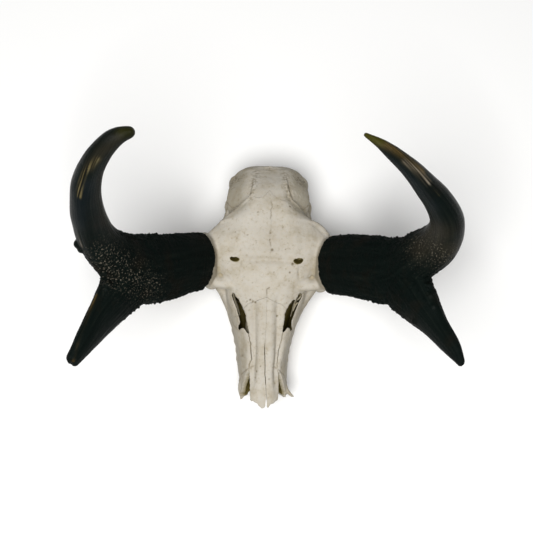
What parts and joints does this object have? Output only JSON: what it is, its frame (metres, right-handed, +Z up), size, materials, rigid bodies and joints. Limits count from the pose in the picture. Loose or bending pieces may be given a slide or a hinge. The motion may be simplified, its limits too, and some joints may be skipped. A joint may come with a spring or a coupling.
{
  "type": "pronghorn skull",
  "caption": "Horned antelope skull without its jaw, with long forked and hooked black sheaths over a pale, narrow skull.",
  "frame": {"origin": "under the middle of the whole, horns included, at the level that it lies on", "axes": "+Z up from the surface, -Y towards the nose, +X towards the animal's left"},
  "size_m": [0.3246, 0.2446, 0.3485],
  "materials": {
    "bone": "dry, slightly porous bone",
    "horn": "near-black horn, rough and fibrous low down and smooth towards the tips"
  },
  "bodies": {
    "root": {"nasal_left": "bone", "nasal_right": "bone", "braincase": "bone", "frontal_bone": "bone", "maxilla_left": "bone", "maxilla_right": "bone", "orbit_left": "bone", "orbit_right": "bone", "horn_left_beam": "horn", "horn_left_hook": "horn", "horn_left_prong": "horn", "horn_right_beam": "horn", "horn_right_hook": "horn", "horn_right_prong": "horn"}
  },
  "joints": []
}
